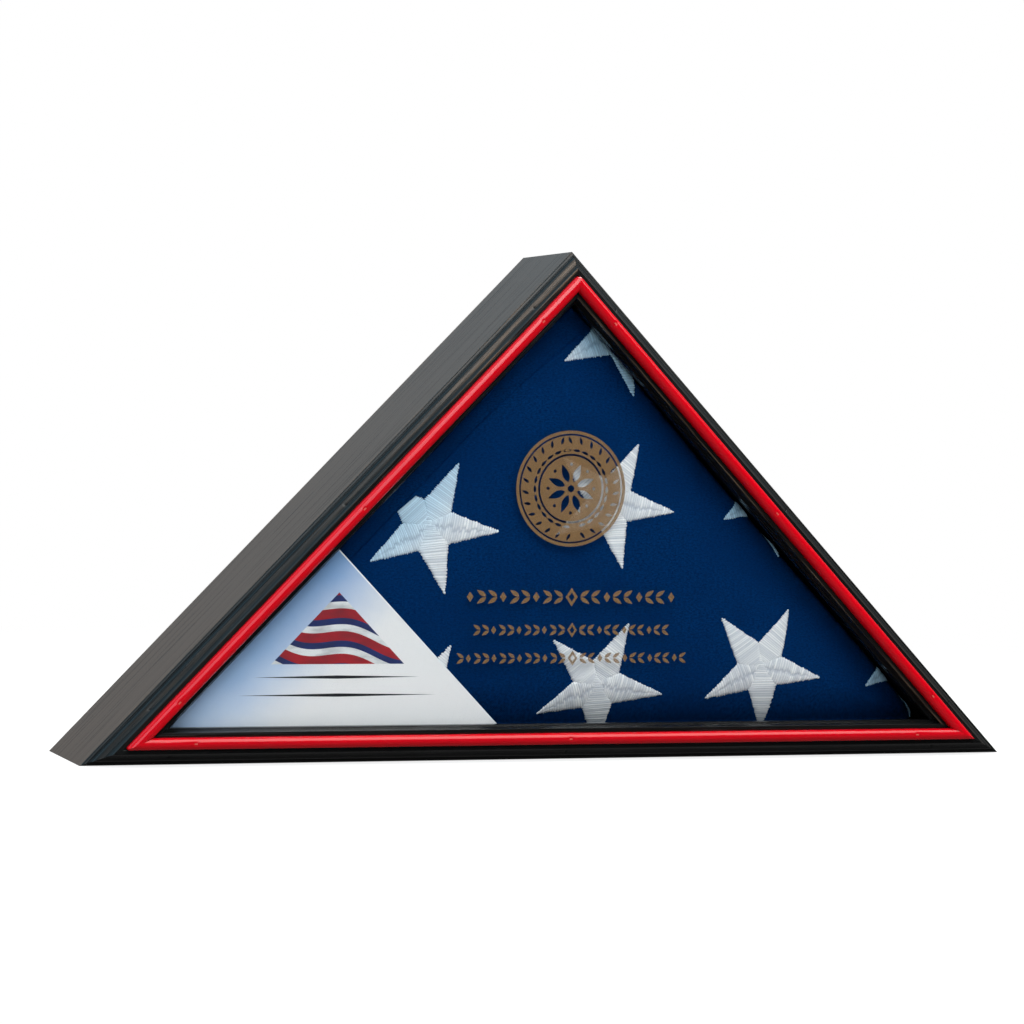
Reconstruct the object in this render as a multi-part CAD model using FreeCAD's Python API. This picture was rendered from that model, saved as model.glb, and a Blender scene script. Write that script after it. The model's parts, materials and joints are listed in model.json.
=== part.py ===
# Folded flag display case: a triangular shadow box of three mitred boards, with a stepped face
# moulding, a red bead, a glazed front, an insert card, a folded flag, and a back panel that
# turn buttons hold in its rabbet.
# Millimetres. X runs along the base, Y from front to back and Z up. The origin is on the
# underside of the base, midway along it and midway through the boards' depth.

import FreeCAD, Part
import math
import os

Vector = FreeCAD.Vector

# The box of boards
case_width = 660.0
case_height = 342.0
board_depth = 98.0
board_thickness = 16.0
board_edge_ease = 0.8

# The back panel in its rabbet
rabbet_width = 6.0
panel_thickness = 6.0
panel_edge_gap = 0.5
panel_recess = 0.25

# The face moulding: insets run inwards from the boards' outer faces, rises run forwards from
# the boards' front edges
moulding_lip = 8.2
moulding_projection = 12.6
edge_round_inset = 2.3
edge_round_rise = 1.9
edge_round_bulge = 0.6
quirk_inset = 2.9
quirk_rise = 3.4
ridge_inset = 4.3
ridge_rise = 6.9
ridge_bulge = 0.55
face_inset = 8.1
cove_hollow = 0.5
lip_slope_width = 2.4
lip_wall = 6.7
lip_hollow = 0.4

# The red bead, let into a dado in the middle of the moulding's flat face
bead_width = 7.8
bead_proud = 6.0
bead_side_height = 2.2
dado_depth = 1.0

# Brads of flat wire with a T head
brad_shank = 1.2
brad_wire = 1.0
brad_head = 2.0
brad_head_height = 0.6
brad_clearance = 0.02
bead_brad_length = 14.0
bead_brad_sink = 0.2
bead_brad_end = 37.0
face_brad_length = 22.0
face_brad_sink = 1.1
face_brad_end = 42.0
stop_brad_length = 11.0
stop_brad_end = 40.0

# V-nails across the moulding's mitres
v_nail_leg = 5.0
v_nail_metal = 0.6
v_nail_depth = 5.0
v_nail_half_angle = 45.0
v_nail_first_inset = 8.5
v_nail_pitch = 6.0
v_nail_clearance = 0.02

# Glass, its stops and the insert card
glass_thickness = 2.5
glass_edge_gap = 0.5
stop_width = 4.0
stop_depth = 3.0
card_width = 240.0
card_thickness = 0.4
card_edge_gap = 0.3

# The folded flag
flag_front_gap = 0.3
flag_base_gap = 0.3
flag_left_gap = 2.0
flag_right_gap = 3.0
flag_back_space = 14.0
flag_roundness = 5.0
flag_tip_radius = 2.0
flag_crown = 3.0
flag_crown_run = 60.0
pocket_inset = 43.0
pocket_tilt = 3.7
pocket_step = 0.5

# Turn buttons and their screws
button_margin = 0.5
button_thickness = 1.3
button_reach = 17.0
button_nose_radius = 3.2
button_seat_gap = 0.1
button_bore_clearance = 0.1
base_button_spacing = 280.0
screw_shank = 3.0
screw_length = 14.0
screw_head = 6.4
screw_head_rim = 0.7
screw_head_height = 2.2
screw_head_flat = 2.4
screw_dome_bulge = 0.35
screw_clearance = 0.02

# Places worked out from the sizes above
half_width = case_width / 2
base_angle = math.atan2(case_height, half_width)
front_y = -board_depth / 2
back_y = board_depth / 2
rabbet_inset = board_thickness - rabbet_width
rabbet_y = back_y - panel_recess - panel_thickness
moulding_width = board_thickness + moulding_lip
lip_inset = moulding_width - lip_slope_width
bead_centre = (face_inset + lip_inset) / 2
bead_seat = moulding_projection - dado_depth
glass_back_y = front_y + glass_thickness
stop_inner = board_thickness + stop_width
flag_front_y = glass_back_y + card_thickness + flag_front_gap
flag_back_y = rabbet_y - flag_back_space
flag_edge_radius = stop_width + stop_depth + flag_roundness
button_radius = rabbet_inset / 2 - button_margin
button_y = back_y + button_seat_gap
overrun = case_width
quarter_steps = 4


def offset_triangle(base_inset, left_inset, right_inset):
    """Corners left, right and apex of the triangle whose sides lie in from the case's outline."""
    left_x = -half_width + left_inset / math.sin(base_angle) + base_inset / math.tan(base_angle)
    right_x = half_width - right_inset / math.sin(base_angle) - base_inset / math.tan(base_angle)
    apex_x = (left_inset - right_inset) / (2 * math.sin(base_angle))
    side_sum = case_width * math.sin(base_angle) - left_inset - right_inset
    apex_z = side_sum / (2 * math.cos(base_angle))
    return Vector(left_x, 0, base_inset), Vector(right_x, 0, base_inset), Vector(apex_x, 0, apex_z)


def inset_triangle(inset):
    return offset_triangle(inset, inset, inset)


class Member:
    """One side of the triangle, counter-clockwise as seen from the front."""

    def __init__(self, start, end):
        self.start = start
        self.length = (end - start).Length
        self.along = (end - start) * (1 / self.length)
        self.inward = Vector(-self.along.z, 0, self.along.x)

    def point(self, run, inset, y):
        return self.start + self.along * run + self.inward * inset + Vector(0, y, 0)

    def runs_of_three(self, inset, end_distance):
        """Runs of three nails at an inset: one near each mitre and one midway."""
        first = inset / math.tan(corner_half_angle(self.start))
        last = self.length - inset / math.tan(corner_half_angle(self.start + self.along * self.length))
        return first + end_distance, (first + last) / 2, last - end_distance


outer_left, outer_right, outer_apex = inset_triangle(0)
incentre_height = case_width * case_height / (case_width + 2 * (outer_apex - outer_left).Length)
incentre = Vector(0, 0, incentre_height)


def corner_half_angle(corner):
    return math.asin(incentre_height / (corner - incentre).Length)


members = {
    "left": Member(outer_apex, outer_left),
    "right": Member(outer_right, outer_apex),
    "bottom": Member(outer_left, outer_right),
}


def bowed(start, end, bulge):
    """An arc step: its middle, which stands off the chord to the left by bulge, and its end."""
    run, rise = end[0] - start[0], end[1] - start[1]
    chord = math.hypot(run, rise)
    middle = (start[0] + end[0]) / 2 - rise / chord * bulge, (start[1] + end[1]) / 2 + run / chord * bulge
    return middle, end


def section_wire(steps, place):
    """Closed wire through steps: a point ends a straight run, and a pair of points is an arc."""
    edges = []
    here = place(*steps[0])
    for step in steps[1:] + steps[:1]:
        if isinstance(step[0], tuple):
            middle, end = place(*step[0]), place(*step[1])
            edges.append(Part.Arc(here, middle, end).toShape())
        else:
            end = place(*step)
            edges.append(Part.LineSegment(here, end).toShape())
        here = end
    return Part.Wire(edges)


def prism(corners, y_from, y_to):
    lifted = [corner + Vector(0, y_from, 0) for corner in corners]
    face = Part.Face(Part.makePolygon(lifted + lifted[:1]))
    return face.extrude(Vector(0, y_to - y_from, 0))


def territory(member):
    """The wedge of space between a member's two mitre planes."""
    start = incentre + (member.start - incentre) * 2
    end = incentre + (member.start + member.along * member.length - incentre) * 2
    return prism([incentre, start, end], -overrun, overrun)


def mitred_bar(member, steps):
    """A bar of the section given in insets and y, cut off at the member's mitre planes."""

    def place(inset, y):
        return member.point(-overrun, inset, y)

    bar = Part.Face(section_wire(steps, place)).extrude(member.along * (member.length + 2 * overrun))
    return bar.common(territory(member)).Solids[0]


def forwards(steps):
    """Turns rises forward of the boards' front edges into y."""
    turned = []
    for step in steps:
        if isinstance(step[0], tuple):
            turned.append(tuple((inset, front_y - rise) for inset, rise in step))
        else:
            turned.append((step[0], front_y - step[1]))
    return turned


def brad(member, head_top, direction, length, clearance=0.0, mouth=0.0):
    """A T-headed wire brad driven along direction from the top of its head.

    With a clearance and a mouth it is the brad's hole, open above the head.
    """
    head, shank = brad_head / 2 + clearance, brad_shank / 2 + clearance
    tip = length + clearance
    outline = [
        (-head, -mouth),
        (head, -mouth),
        (head, brad_head_height),
        (shank, brad_head_height),
        (shank, tip),
        (-shank, tip),
        (-shank, brad_head_height),
        (-head, brad_head_height),
    ]
    through = member.along.cross(direction)
    half_wire = brad_wire / 2 + clearance

    def place(sideways, deep):
        return head_top + member.along * sideways + direction * deep - through * half_wire

    return Part.Face(section_wire(outline, place)).extrude(through * (2 * half_wire))


def side_board(member):
    round_bulge = board_edge_ease * (1 - math.sqrt(0.5))
    return mitred_bar(member, [
        (0.0, front_y),
        (board_thickness, front_y),
        (board_thickness, rabbet_y),
        (rabbet_inset, rabbet_y),
        (rabbet_inset, back_y),
        (board_edge_ease, back_y),
        bowed((board_edge_ease, back_y), (0.0, back_y - board_edge_ease), -round_bulge),
    ])


def face_moulding(member):
    """The stepped moulding: edge round, quirk, ovolo ridge, cove, flat face with dado, and lip."""
    edge_round = (edge_round_inset, edge_round_rise)
    quirk = (quirk_inset, quirk_rise)
    ridge = (ridge_inset, ridge_rise)
    face_edge = (face_inset, moulding_projection)
    lip_edge = (lip_inset, moulding_projection)
    return mitred_bar(member, forwards([
        (0.0, 0.0),
        bowed((0.0, 0.0), edge_round, edge_round_bulge),
        quirk,
        bowed(quirk, ridge, ridge_bulge),
        bowed(ridge, face_edge, -cove_hollow),
        (bead_centre - bead_width / 2, moulding_projection),
        (bead_centre - bead_width / 2, bead_seat),
        (bead_centre + bead_width / 2, bead_seat),
        (bead_centre + bead_width / 2, moulding_projection),
        lip_edge,
        bowed(lip_edge, (moulding_width, lip_wall), -lip_hollow),
        (moulding_width, 0.0),
    ]))


def red_bead(member):
    shoulder = moulding_projection + bead_side_height
    outer, inner = bead_centre - bead_width / 2, bead_centre + bead_width / 2
    return mitred_bar(member, forwards([
        (outer, bead_seat),
        (outer, shoulder),
        bowed((outer, shoulder), (inner, shoulder), bead_proud - bead_side_height),
        (inner, bead_seat),
    ]))


def glass_stop(member):
    return mitred_bar(member, [
        (board_thickness, glass_back_y),
        (stop_inner, glass_back_y),
        (stop_inner, glass_back_y + stop_depth),
        (board_thickness, glass_back_y + stop_depth),
    ])


def v_nail(corner, inset, clearance):
    """A V of sheet metal that straddles a mitre, open towards the middle of the case."""
    axis = (incentre - corner).normalize()
    across = Vector(-axis.z, 0, axis.x)
    apex = corner + axis * (inset / math.sin(corner_half_angle(corner)))
    spread = math.radians(v_nail_half_angle)
    half_metal = v_nail_metal / 2 + clearance
    leg = v_nail_leg + clearance
    outline = [apex - axis * (half_metal / math.sin(spread))]
    for side in (1, -1):
        arm = axis * math.cos(spread) + across * (math.sin(spread) * side)
        normal = across * (math.cos(spread) * side) - axis * math.sin(spread)
        ends = [apex + arm * leg + normal * half_metal, apex + arm * leg - normal * half_metal]
        outline += ends if side == 1 else ends[::-1]
        if side == 1:
            outline.append(apex + axis * (half_metal / math.sin(spread)))
    return prism(outline, front_y, front_y - v_nail_depth - clearance)


def v_nails(clearance=0.0):
    insets = (v_nail_first_inset, v_nail_first_inset + v_nail_pitch)
    corners = (outer_left, outer_right, outer_apex)
    return [v_nail(corner, inset, clearance) for corner in corners for inset in insets]


def rounded_triangle(corners, radius, y):
    """Closed wire of three lines and three arcs."""
    edges = []
    first = None
    here = None
    for index, corner in enumerate(corners):
        to_last = (corners[index - 1] - corner).normalize()
        to_next = (corners[(index + 1) % 3] - corner).normalize()
        half_angle = to_last.getAngle(to_next) / 2
        centre = corner + (to_last + to_next).normalize() * (radius / math.sin(half_angle))
        reach = radius / math.tan(half_angle)
        arc_start, arc_end = corner + to_last * reach, corner + to_next * reach
        arc_middle = centre + (corner - centre).normalize() * radius
        lift = Vector(0, y, 0)
        if here:
            edges.append(Part.LineSegment(here, arc_start + lift).toShape())
        else:
            first = arc_start + lift
        edges.append(Part.Arc(arc_start + lift, arc_middle + lift, arc_end + lift).toShape())
        here = arc_end + lift
    edges.append(Part.LineSegment(here, first).toShape())
    return Part.Wire(edges)


def flag_section(inset, y):
    corners = offset_triangle(
        board_thickness + flag_base_gap + inset,
        board_thickness + flag_left_gap + inset,
        board_thickness + flag_right_gap + inset,
    )
    radius = flag_tip_radius + max(flag_edge_radius - inset, 0.0)
    return rounded_triangle(corners, radius, y)


def folded_flag():
    """The folded bundle: crowned front, rounded folds, and the step where the last fold is tucked in."""
    sections = [flag_section(flag_edge_radius + flag_crown_run, flag_front_y)]
    turns = [step * math.pi / 2 / quarter_steps for step in range(quarter_steps + 1)]
    for turn in turns:
        inset = flag_edge_radius * (1 - math.sin(turn))
        depth = flag_edge_radius * (1 - math.cos(turn))
        sections.append(flag_section(inset, flag_front_y + flag_crown + depth))
    for turn in reversed(turns):
        inset = flag_edge_radius * (1 - math.sin(turn))
        depth = flag_edge_radius * (1 - math.cos(turn))
        sections.append(flag_section(inset, flag_back_y - depth))
    bundle = Part.makeLoft(sections, True, True)
    left = members["left"]
    swing = left.length * math.tan(math.radians(pocket_tilt))
    pocket = prism([
        left.point(-left.length / 2, -pocket_inset, 0),
        left.point(left.length * 1.5, -pocket_inset, 0),
        left.point(left.length * 1.5, pocket_inset - swing, 0),
        left.point(-left.length / 2, pocket_inset + swing, 0),
    ], flag_front_y - flag_crown, flag_front_y + flag_crown + pocket_step)
    return bundle.cut(pocket).Solids[0]


def insert_card():
    """A card of the case's own shape, in the left corner between the glass and the flag."""
    corner = inset_triangle(stop_inner + card_edge_gap)[0]
    apex = corner + Vector(card_width / 2, 0, card_width / 2 * math.tan(base_angle))
    outline = [corner, corner + Vector(card_width, 0, 0), apex]
    return prism(outline, glass_back_y, glass_back_y + card_thickness)


class ButtonPlace:
    """A turn button's pivot, the way it points when it is released, and the way it points to lock."""

    def __init__(self, member, run, sense):
        self.pivot = member.point(run, rabbet_inset / 2, 0)
        self.released = member.along * sense
        self.locked = member.inward


def turn_button(place):
    """A teardrop plate: a round about the screw, a smaller round at the nose, and tangents between."""
    lean = math.asin((button_radius - button_nose_radius) / button_reach)

    def around(centre_run, radius, angle):
        return (centre_run + radius * math.cos(angle), radius * math.sin(angle))

    tangent = math.pi / 2 - lean
    steps = [
        around(0.0, button_radius, tangent),
        (around(0.0, button_radius, math.pi), around(0.0, button_radius, -tangent)),
        around(button_reach, button_nose_radius, -tangent),
        (around(button_reach, button_nose_radius, 0.0), around(button_reach, button_nose_radius, tangent)),
    ]

    def lay(run, side):
        return place.pivot + place.released * run + place.locked * side + Vector(0, button_y, 0)

    plate = Part.Face(section_wire(steps, lay)).extrude(Vector(0, button_thickness, 0))
    bore = Part.makeCylinder(
        screw_shank / 2 + button_bore_clearance,
        board_depth,
        place.pivot,
        Vector(0, 1, 0),
    )
    return plate.cut(bore).Solids[0]


def screw(place):
    """A pan-head screw, head outwards."""
    seat_y = button_y + button_thickness + button_seat_gap
    rim_y = seat_y + screw_head_rim
    top_y = seat_y + screw_head_height
    steps = [
        (0.0, seat_y - screw_length),
        (screw_shank / 2, seat_y - screw_length),
        (screw_shank / 2, seat_y),
        (screw_head / 2, seat_y),
        (screw_head / 2, rim_y),
        bowed((screw_head / 2, rim_y), (screw_head_flat / 2, top_y), -screw_dome_bulge),
        (0.0, top_y),
    ]

    def spin(radius, y):
        return place.pivot + Vector(radius, y, 0)

    profile = Part.Face(section_wire(steps, spin))
    return profile.revolve(place.pivot, Vector(0, 1, 0), 360)


def screw_hole(place):
    tip_y = button_y + button_thickness + button_seat_gap - screw_length - screw_clearance
    return Part.makeCylinder(
        screw_shank / 2 + screw_clearance,
        back_y - tip_y,
        place.pivot + Vector(0, tip_y, 0),
        Vector(0, 1, 0),
    )


bottom = members["bottom"]
button_places = {
    "left_turn_button": ButtonPlace(members["left"], members["left"].length / 2, 1),
    "right_turn_button": ButtonPlace(members["right"], members["right"].length / 2, -1),
    "base_left_turn_button": ButtonPlace(bottom, (bottom.length - base_button_spacing) / 2, -1),
    "base_right_turn_button": ButtonPlace(bottom, (bottom.length + base_button_spacing) / 2, 1),
}
backwards = Vector(0, 1, 0)
bead_brad_y = front_y - moulding_projection - bead_proud + bead_brad_sink
face_brad_inset = (ridge_inset + face_inset) / 2
face_brad_y = front_y - ridge_rise - face_brad_sink
stop_brad_y = glass_back_y + stop_depth / 2

board_names = {"left": "left_side_board", "right": "right_side_board", "bottom": "base_board"}
slots = v_nails(v_nail_clearance)
screw_holes = [screw_hole(place) for place in button_places.values()]
nodes = {}
bead_brads, face_brads, stop_brads = [], [], []
for side, member in members.items():
    board, moulding = side_board(member), face_moulding(member)
    bead, stop = red_bead(member), glass_stop(member)
    for run in member.runs_of_three(bead_centre, bead_brad_end):
        head_top = member.point(run, bead_centre, bead_brad_y)
        bead_brads.append(brad(member, head_top, backwards, bead_brad_length))
        hole = brad(member, head_top, backwards, bead_brad_length, brad_clearance, bead_proud)
        bead, moulding = bead.cut(hole), moulding.cut(hole)
    for run in member.runs_of_three(face_brad_inset, face_brad_end):
        head_top = member.point(run, face_brad_inset, face_brad_y)
        face_brads.append(brad(member, head_top, backwards, face_brad_length))
        hole = brad(member, head_top, backwards, face_brad_length, brad_clearance, moulding_projection)
        moulding, board = moulding.cut(hole), board.cut(hole)
    for run in member.runs_of_three(stop_inner, stop_brad_end):
        head_top = member.point(run, stop_inner, stop_brad_y)
        outwards = member.inward * -1
        stop_brads.append(brad(member, head_top, outwards, stop_brad_length))
        hole = brad(member, head_top, outwards, stop_brad_length, brad_clearance, stop_width)
        stop, board = stop.cut(hole), board.cut(hole)
    nodes[board_names[side]] = board.cut(Part.makeCompound(screw_holes)).Solids[0]
    nodes[side + "_face_moulding"] = moulding.cut(Part.makeCompound(slots)).Solids[0]
    nodes[side + "_red_bead"] = bead.Solids[0]
    nodes[side + "_glass_stop"] = stop.Solids[0]

nodes["red_bead_brads"] = Part.makeCompound(bead_brads)
nodes["face_moulding_brads"] = Part.makeCompound(face_brads)
nodes["glass_stop_brads"] = Part.makeCompound(stop_brads)
nodes["corner_v_nails"] = Part.makeCompound(v_nails())
nodes["glass_pane"] = prism(inset_triangle(board_thickness + glass_edge_gap), front_y, glass_back_y)
nodes["insert_card"] = insert_card()
nodes["folded_flag"] = folded_flag()
panel_outline = inset_triangle(rabbet_inset + panel_edge_gap)
nodes["back_panel"] = prism(panel_outline, rabbet_y, rabbet_y + panel_thickness)
for name, place in button_places.items():
    nodes[name] = turn_button(place)
nodes["turn_button_screws"] = Part.makeCompound([screw(place) for place in button_places.values()])

os.makedirs("parts", exist_ok=True)
for name, shape in nodes.items():
    if not shape.isValid():
        raise ValueError(name + " is not a valid shape")
    shape.exportStep("parts/" + name + ".step")
    print(name, len(shape.Solids), "solids", round(shape.Volume / 1000, 2), "cm3")
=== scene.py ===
"""Looks of the folded flag display case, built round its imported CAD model.

Metres, in the CAD model's frame: X along the base, Y from front to back, Z up.
"""

import bmesh
import bpy
import json
import math
import numpy as np
from mathutils import Matrix, Vector, geometry

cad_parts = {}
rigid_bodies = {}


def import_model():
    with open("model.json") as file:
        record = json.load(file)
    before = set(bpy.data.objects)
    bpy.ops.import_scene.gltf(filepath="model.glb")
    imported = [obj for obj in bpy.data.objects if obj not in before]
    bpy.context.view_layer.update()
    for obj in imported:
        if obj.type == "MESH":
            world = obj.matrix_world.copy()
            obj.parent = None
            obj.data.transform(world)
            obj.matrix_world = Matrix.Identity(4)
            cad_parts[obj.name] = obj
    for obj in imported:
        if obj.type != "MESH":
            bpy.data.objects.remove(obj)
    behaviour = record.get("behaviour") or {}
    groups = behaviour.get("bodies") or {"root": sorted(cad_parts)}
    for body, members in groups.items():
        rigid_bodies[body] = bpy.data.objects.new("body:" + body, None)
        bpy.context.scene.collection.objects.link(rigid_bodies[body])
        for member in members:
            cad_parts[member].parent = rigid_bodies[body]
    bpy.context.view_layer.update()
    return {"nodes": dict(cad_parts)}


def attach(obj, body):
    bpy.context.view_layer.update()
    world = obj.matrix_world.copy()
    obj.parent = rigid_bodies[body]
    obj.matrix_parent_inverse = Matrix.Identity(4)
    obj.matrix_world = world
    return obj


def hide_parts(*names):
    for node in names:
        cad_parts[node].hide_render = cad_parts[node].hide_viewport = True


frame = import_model()
nodes = frame["nodes"]

MM = 0.001


def mm(*lengths):
    return tuple(length * MM for length in lengths)


# The case's outline and planes, as in the CAD source
HALF_WIDTH, HEIGHT = mm(330, 342)
BASE_ANGLE = math.atan2(HEIGHT, HALF_WIDTH)
FRONT, BACK = mm(-49, 49)
BOARD = 16 * MM
RABBET_INSET, RABBET_Y = mm(10, 42.75)
MOULDING_WIDTH, PROJECTION, LIP_INSET = mm(24.2, 12.6, 21.8)
FACE_INSET = 8.1 * MM
BEAD_CENTRE, BEAD_WIDTH = mm(14.95, 7.8)
BEAD_SEAT, BEAD_SHOULDER, BEAD_BULGE = mm(11.6, 14.8, 3.8)
GLASS_FRONT = -49 * MM
BACK_EDGE_EASE = 0.8 * MM


# Geometry in the plane of (x, z)

def heading_vector(degrees):
    return np.array([math.cos(math.radians(degrees)), math.sin(math.radians(degrees))])


def turn_between(first, last):
    """Angle from one vector to another, counter-clockwise."""
    return math.atan2(first[0] * last[1] - first[1] * last[0], first @ last)


def turned(vector, angles):
    """A vector turned by each of some angles."""
    cos, sin = np.cos(angles), np.sin(angles)
    return np.stack([vector[0] * cos - vector[1] * sin, vector[0] * sin + vector[1] * cos], -1)


def upright(flat, y):
    """Points in space from points in the plane and their y."""
    return np.stack([flat[..., 0], np.broadcast_to(y, flat.shape[:-1]), flat[..., 1]], -1)


def smooth_step(t):
    t = np.clip(t, 0, 1)
    return t * t * (3 - 2 * t)


def offset_triangle(base, left, right):
    """Corners left, right and apex of a triangle in from the case's outline."""
    sine, cosine, tangent = math.sin(BASE_ANGLE), math.cos(BASE_ANGLE), math.tan(BASE_ANGLE)
    side_sum = 2 * HALF_WIDTH * sine - left - right
    return np.array([
        (-HALF_WIDTH + left / sine + base / tangent, base),
        (HALF_WIDTH - right / sine - base / tangent, base),
        ((left - right) / (2 * sine), side_sum / (2 * cosine)),
    ])


class Side:
    """One side of the case, counter-clockwise from the front."""

    def __init__(self, start, end, start_angle, end_angle):
        self.start = start
        self.length = float(np.hypot(*(end - start)))
        self.along = (end - start) / self.length
        self.inward = np.array([-self.along[1], self.along[0]])
        self.start_cot, self.end_cot = 1 / math.tan(start_angle / 2), 1 / math.tan(end_angle / 2)

    def points(self, run, inset, y):
        return upright(self.start + np.multiply.outer(run, self.along) + np.multiply.outer(inset, self.inward), y)

    def inset_of(self, flat):
        return (flat - self.start) @ self.inward

    def run_of(self, flat):
        return (flat - self.start) @ self.along

    def mitres(self, inset):
        """Runs at which the mitres cut a line at an inset."""
        return inset * self.start_cot, self.length - inset * self.end_cot

    def dents(self, inset, end_distance, radius, depth):
        """Dents at three nails: one near each mitre and one midway."""
        first, last = self.mitres(inset)
        runs = first + end_distance, (first + last) / 2, last - end_distance
        return [(run, inset, radius, depth) for run in runs]


LEFT_CORNER, RIGHT_CORNER, APEX = offset_triangle(0, 0, 0)
APEX_ANGLE = math.pi - 2 * BASE_ANGLE
SIDES = {
    "left": Side(APEX, LEFT_CORNER, APEX_ANGLE, BASE_ANGLE),
    "right": Side(RIGHT_CORNER, APEX, BASE_ANGLE, APEX_ANGLE),
    "bottom": Side(LEFT_CORNER, RIGHT_CORNER, BASE_ANGLE, BASE_ANGLE),
}


# Materials

BANDS_TO_UNIT = 3.14


def math_method(operation):
    return lambda value, other: value.look.math(operation, value, other)


class Value:
    """A node's output. What is done with it makes more nodes."""

    __add__, __sub__, __mul__, __truediv__ = map(math_method, ("ADD", "SUBTRACT", "MULTIPLY", "DIVIDE"))
    __gt__, __lt__ = map(math_method, ("GREATER_THAN", "LESS_THAN"))

    def __init__(self, look, socket):
        self.look, self.socket = look, socket

    def __rsub__(self, other):
        return self.look.math("SUBTRACT", other, self)

    def ramp(self, low, high, to_low=0.0, to_high=1.0):
        inputs = {"Value": self, "From Min": low, "From Max": high, "To Min": to_low, "To Max": to_high}
        return self.look.node("MapRange", inputs, interpolation_type="SMOOTHSTEP")

    def mix(self, low, high):
        """From one colour at 0 to another at 1."""
        return self.look.node("Mix", {0: self, 6: low, 7: high}, 2, data_type="RGBA")

    def bump(self, distance, strength):
        return self.look.node("Bump", {"Height": self, "Distance": distance, "Strength": strength})


class Look:
    """The node tree of a material or of the world, with short calls for its nodes."""

    def __init__(self, name, place="Object", kind="materials"):
        self.owner = getattr(bpy.data, kind).new(name)
        self.owner.use_nodes = True
        self.nodes, self.links = self.owner.node_tree.nodes, self.owner.node_tree.links
        self.nodes.clear()
        self.place = self.node("TexCoord", output=place)

    def put(self, socket, value):
        if isinstance(value, Value):
            self.links.new(value.socket, socket)
        else:
            socket.default_value = (*value, 1.0) if socket.type == "RGBA" else value

    def node(self, kind, inputs=(), output=0, **settings):
        made = self.nodes.new("ShaderNode" + kind)
        for name, value in settings.items():
            setattr(made, name, value)
        for key, value in dict(inputs).items():
            self.put(made.inputs[key], value)
        return Value(self, made.outputs[output])

    def axes(self):
        return [self.node("SeparateXYZ", {0: self.place}, axis) for axis in "XYZ"]

    def rays(self):
        """If a ray is the camera's, mirrored, or through a clear thing."""
        return [self.node("LightPath", output=f"Is {kind} Ray") for kind in ("Camera", "Glossy", "Transmission")]

    def attribute(self, name):
        return self.node("Attribute", output="Fac", attribute_name=name)

    def math(self, operation, value, *others):
        """An operation on one value, or on several in turn."""
        for other in others or (0.0,):
            value = self.node("Math", {0: value, 1: other}, operation=operation)
        return value

    def noise(self, scale, detail=2.0, roughness=0.5, shift=(0.0, 0.0, 0.0)):
        """Noise over the place, scaled alike or by axis."""
        scale = scale if isinstance(scale, tuple) else (scale,) * 3
        vector = self.node("Mapping", {"Vector": self.place, "Scale": scale, "Location": shift})
        return self.node("TexNoise", {"Vector": vector, "Scale": 1.0, "Detail": detail, "Roughness": roughness})

    def wave(self, pitch, turn=0.0):
        """Bands at a pitch, across the place's X after a turn about Z."""
        vector = self.node("Mapping", {"Vector": self.place, "Rotation": (0.0, 0.0, turn)})
        return self.node("TexWave", {"Vector": vector, "Scale": 1 / (pitch * BANDS_TO_UNIT)}, 1)

    def finish(self, shader):
        output = self.nodes.new("ShaderNodeOutput" + type(self.owner).__name__)
        self.put(output.inputs["Surface"], shader)
        return self.owner

    def blend(self, share, first, second):
        return self.finish(self.node("MixShader", {0: share, 1: first, 2: second}))

    def principled(self, **inputs):
        names = {name.replace("_", " ").title().replace("Ior", "IOR"): value for name, value in inputs.items()}
        return self.finish(self.node("BsdfPrincipled", names))


def stained_oak(name, dark, pale, specular, dull):
    """Black satin stain over open-grained wood, rubbed through to brown on its edges."""
    look = Look(name, "UV")
    grain = look.noise((4, 210, 1), 5, 0.62)
    pores = look.noise((6, 560, 1), 3, 0.6, (3.1, 7.7, 0)).ramp(0.58, 0.68)
    patches = look.noise((14, 30, 1), 3)
    rub = look.noise((24, 700, 1), 3, 0.65, (9, 2, 0))
    # The wear mask also carries the right lip's edge line, which is part painted highlight
    worn = look.attribute("wear") * rub.ramp(0.36, 0.62) * patches.ramp(0.3, 0.6, 0.4, 1)
    stain = grain.ramp(0.25, 0.75).mix(dark, pale)
    stain = pores.mix(stain, (0.002, 0.002, 0.002))
    return look.principled(
        base_color=worn.mix(stain, (0.2, 0.125, 0.075)),
        roughness=(grain + pores).ramp(0.25, 1.3, dull, dull + 0.25),
        normal=(grain * 0.5 - pores).bump(0.2 * MM, 0.5),
        specular_ior_level=specular,
    )


def red_paint():
    """Gloss enamel on a half-round bead, with slight brush waves."""
    look = Look("red_enamel", "UV")
    drift = look.noise((20, 60, 1), 3)
    waves = look.noise((9, 420, 1), 3)
    return look.principled(
        base_color=drift.mix((0.48, 0.0003, 0.0048), (0.59, 0.0006, 0.0079)),
        roughness=waves.ramp(0.2, 0.8, 0.12, 0.19),
        normal=waves.bump(0.1 * MM, 0.2),
        specular_ior_level=0.46,
    )


def filled_brads():
    """Red filler, a little paler than the enamel, over the bead's brads."""
    look = Look("brad_filler")
    grain = look.noise(900, 3)
    return look.principled(
        base_color=grain.mix((0.56, 0.045, 0.035), (0.7, 0.11, 0.085)),
        roughness=grain.ramp(0.3, 0.7, 0.3, 0.5),
    )


def pale_wood():
    """Bare straight-grained wood."""
    look = Look("stop_wood")
    rings = look.noise((30, 900, 420), 4, 0.6)
    return look.principled(
        base_color=rings.mix((0.36, 0.23, 0.12), (0.56, 0.4, 0.24)),
        roughness=rings.ramp(0.2, 0.8, 0.55, 0.75),
        normal=rings.bump(0.15 * MM, 0.5),
    )


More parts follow.
